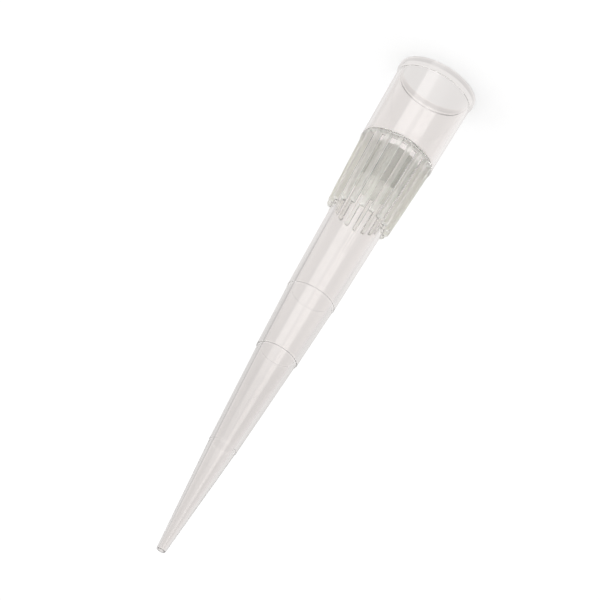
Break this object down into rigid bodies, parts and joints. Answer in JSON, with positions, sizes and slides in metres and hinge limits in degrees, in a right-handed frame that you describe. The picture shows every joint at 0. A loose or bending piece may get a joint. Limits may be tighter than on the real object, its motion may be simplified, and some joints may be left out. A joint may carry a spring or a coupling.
{
  "type": "pipette tip",
  "caption": "Clear tapered filter pipette tip: lipped collar that grips a nozzle, lengthwise fins, volume ledges, fine orifice and a porous plug.",
  "frame": {"origin": "centre of the mouth rim, in the plane that the tip stands on", "axes": "+Z along the tip's axis, from the mouth to the orifice; +X through one of the fins"},
  "size_m": [0.007, 0.007, 0.0481],
  "materials": {
    "clear_polypropylene": "clear moulded polypropylene, glossy, faintly hazy",
    "sintered_polyethylene": "porous sintered beads, matte grey"
  },
  "bodies": {
    "root": {"tip_body": "clear_polypropylene", "filter_plug": "sintered_polyethylene"}
  },
  "joints": []
}
